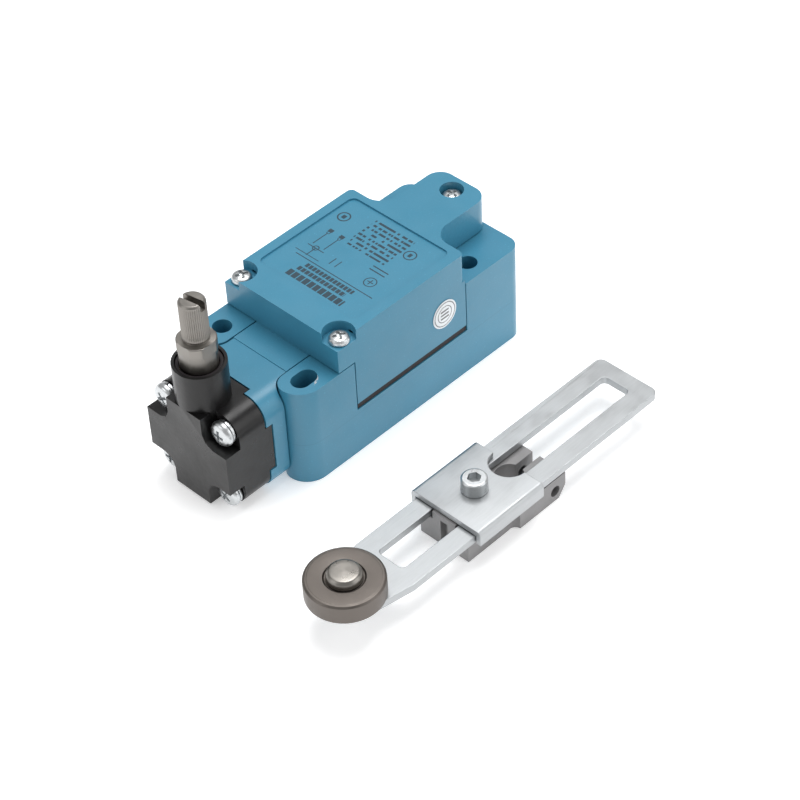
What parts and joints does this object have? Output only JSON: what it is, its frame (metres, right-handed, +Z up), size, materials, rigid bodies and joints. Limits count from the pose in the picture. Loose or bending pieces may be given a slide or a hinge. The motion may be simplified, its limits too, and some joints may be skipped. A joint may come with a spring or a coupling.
{
  "type": "limit switch",
  "caption": "Side-rotary limit switch: a plug-in unit with an upright knurled shaft on its die-cast base, and a loose adjustable roller lever beside it.",
  "frame": {"origin": "centre of the base's mounting face, on the centre of its 60 by 30 mm fixing pattern", "axes": "+X along the body towards the conduit end, +Y across it away from the loose lever, +Z up out of the mounting face"},
  "size_m": [0.1173, 0.0926, 0.0615],
  "materials": {
    "blue_paint": "satin stoved paint on zinc die casting",
    "black_paint": "satin black paint on die casting",
    "zinc_plate": "bright zinc plate",
    "bare_steel": "turned and ground",
    "sintered_steel": "turned, grey",
    "die_cast": "as cast, matt",
    "black_rubber": "matt",
    "dark_plastic": "moulded",
    "light_plastic": "moulded",
    "brass": "stamped",
    "label": "printed film"
  },
  "bodies": {
    "housing": {"base": "blue_paint", "gasket_near": "black_rubber", "gasket_far": "black_rubber", "terminal_block": "dark_plastic", "terminal_clamp_1": "brass", "terminal_clamp_2": "brass", "terminal_clamp_3": "brass", "terminal_clamp_4": "brass", "terminal_screw_1": "zinc_plate", "terminal_screw_2": "zinc_plate", "terminal_screw_3": "zinc_plate", "terminal_screw_4": "zinc_plate", "ground_screw": "brass"},
    "plug_in_unit": {"cover": "blue_paint", "cover_screw_near": "zinc_plate", "cover_screw_far": "zinc_plate", "tail_screw": "zinc_plate", "side_sticker": "label", "contact_block": "dark_plastic", "contact_blade_1": "brass", "contact_blade_2": "brass", "contact_blade_3": "brass", "contact_blade_4": "brass", "carrier_spring": "bare_steel", "head": "black_paint", "head_screw_upper_far": "zinc_plate", "head_screw_upper_near": "zinc_plate", "head_screw_lower_far": "zinc_plate", "head_screw_lower_near": "zinc_plate", "spring_washer_upper_far": "zinc_plate", "spring_washer_upper_near": "zinc_plate", "spring_washer_lower_far": "zinc_plate", "spring_washer_lower_near": "zinc_plate", "shaft_bush": "brass", "shaft_seal": "black_rubber", "head_spring": "bare_steel"},
    "turning_shaft": {"shaft": "bare_steel", "drive_cam": "bare_steel"},
    "plunger": {"head_plunger": "bare_steel"},
    "contact_slider": {"contact_carrier": "light_plastic", "contact_bridge": "brass"},
    "lever_clamp": {"lever_hub": "die_cast", "lever_bracket": "zinc_plate", "clamp_screw": "zinc_plate"},
    "lever": {"lever_arm": "zinc_plate", "roller_pin": "bare_steel"},
    "lever_roller": {"roller": "sintered_steel"}
  },
  "joints": [
    {"name": "unit_lift", "type": "slide", "parent": "housing", "child": "plug_in_unit", "axis": [0, 0, 1], "range_m": [0, 0.045]},
    {"name": "shaft_turn", "type": "hinge", "parent": "plug_in_unit", "child": "turning_shaft", "pos_m": [-0.0504, 0, 0.0155], "axis": [0, 0, 1], "range_deg": [0, 75]},
    {"name": "plunger_push", "type": "slide", "parent": "plug_in_unit", "child": "plunger", "axis": [1, 0, 0], "range_m": [0, 0.003], "stiffness_N_per_m": 800, "springref_m": -0.012},
    {"name": "contact_push", "type": "slide", "parent": "plug_in_unit", "child": "contact_slider", "axis": [1, 0, 0], "range_m": [0, 0.0031]},
    {"name": "lever_lift", "type": "slide", "parent": "housing", "child": "lever_clamp", "axis": [0, 0, 1], "range_m": [0, 0.06]},
    {"name": "arm_slide", "type": "slide", "parent": "lever_clamp", "child": "lever", "axis": [1, 0, 0], "range_m": [-0.036, 0.016]},
    {"name": "roller_spin", "type": "hinge", "parent": "lever", "child": "lever_roller", "pos_m": [-0.0621, -0.0603, 0.0133], "axis": [0, 0, 1], "continuous": true}
  ],
  "couplings": [
    {"joint": "shaft_turn", "follows": "plunger_push", "rad_per_m": 436.33},
    {"joint": "contact_push", "follows": "plunger_push", "ratio": 1}
  ]
}
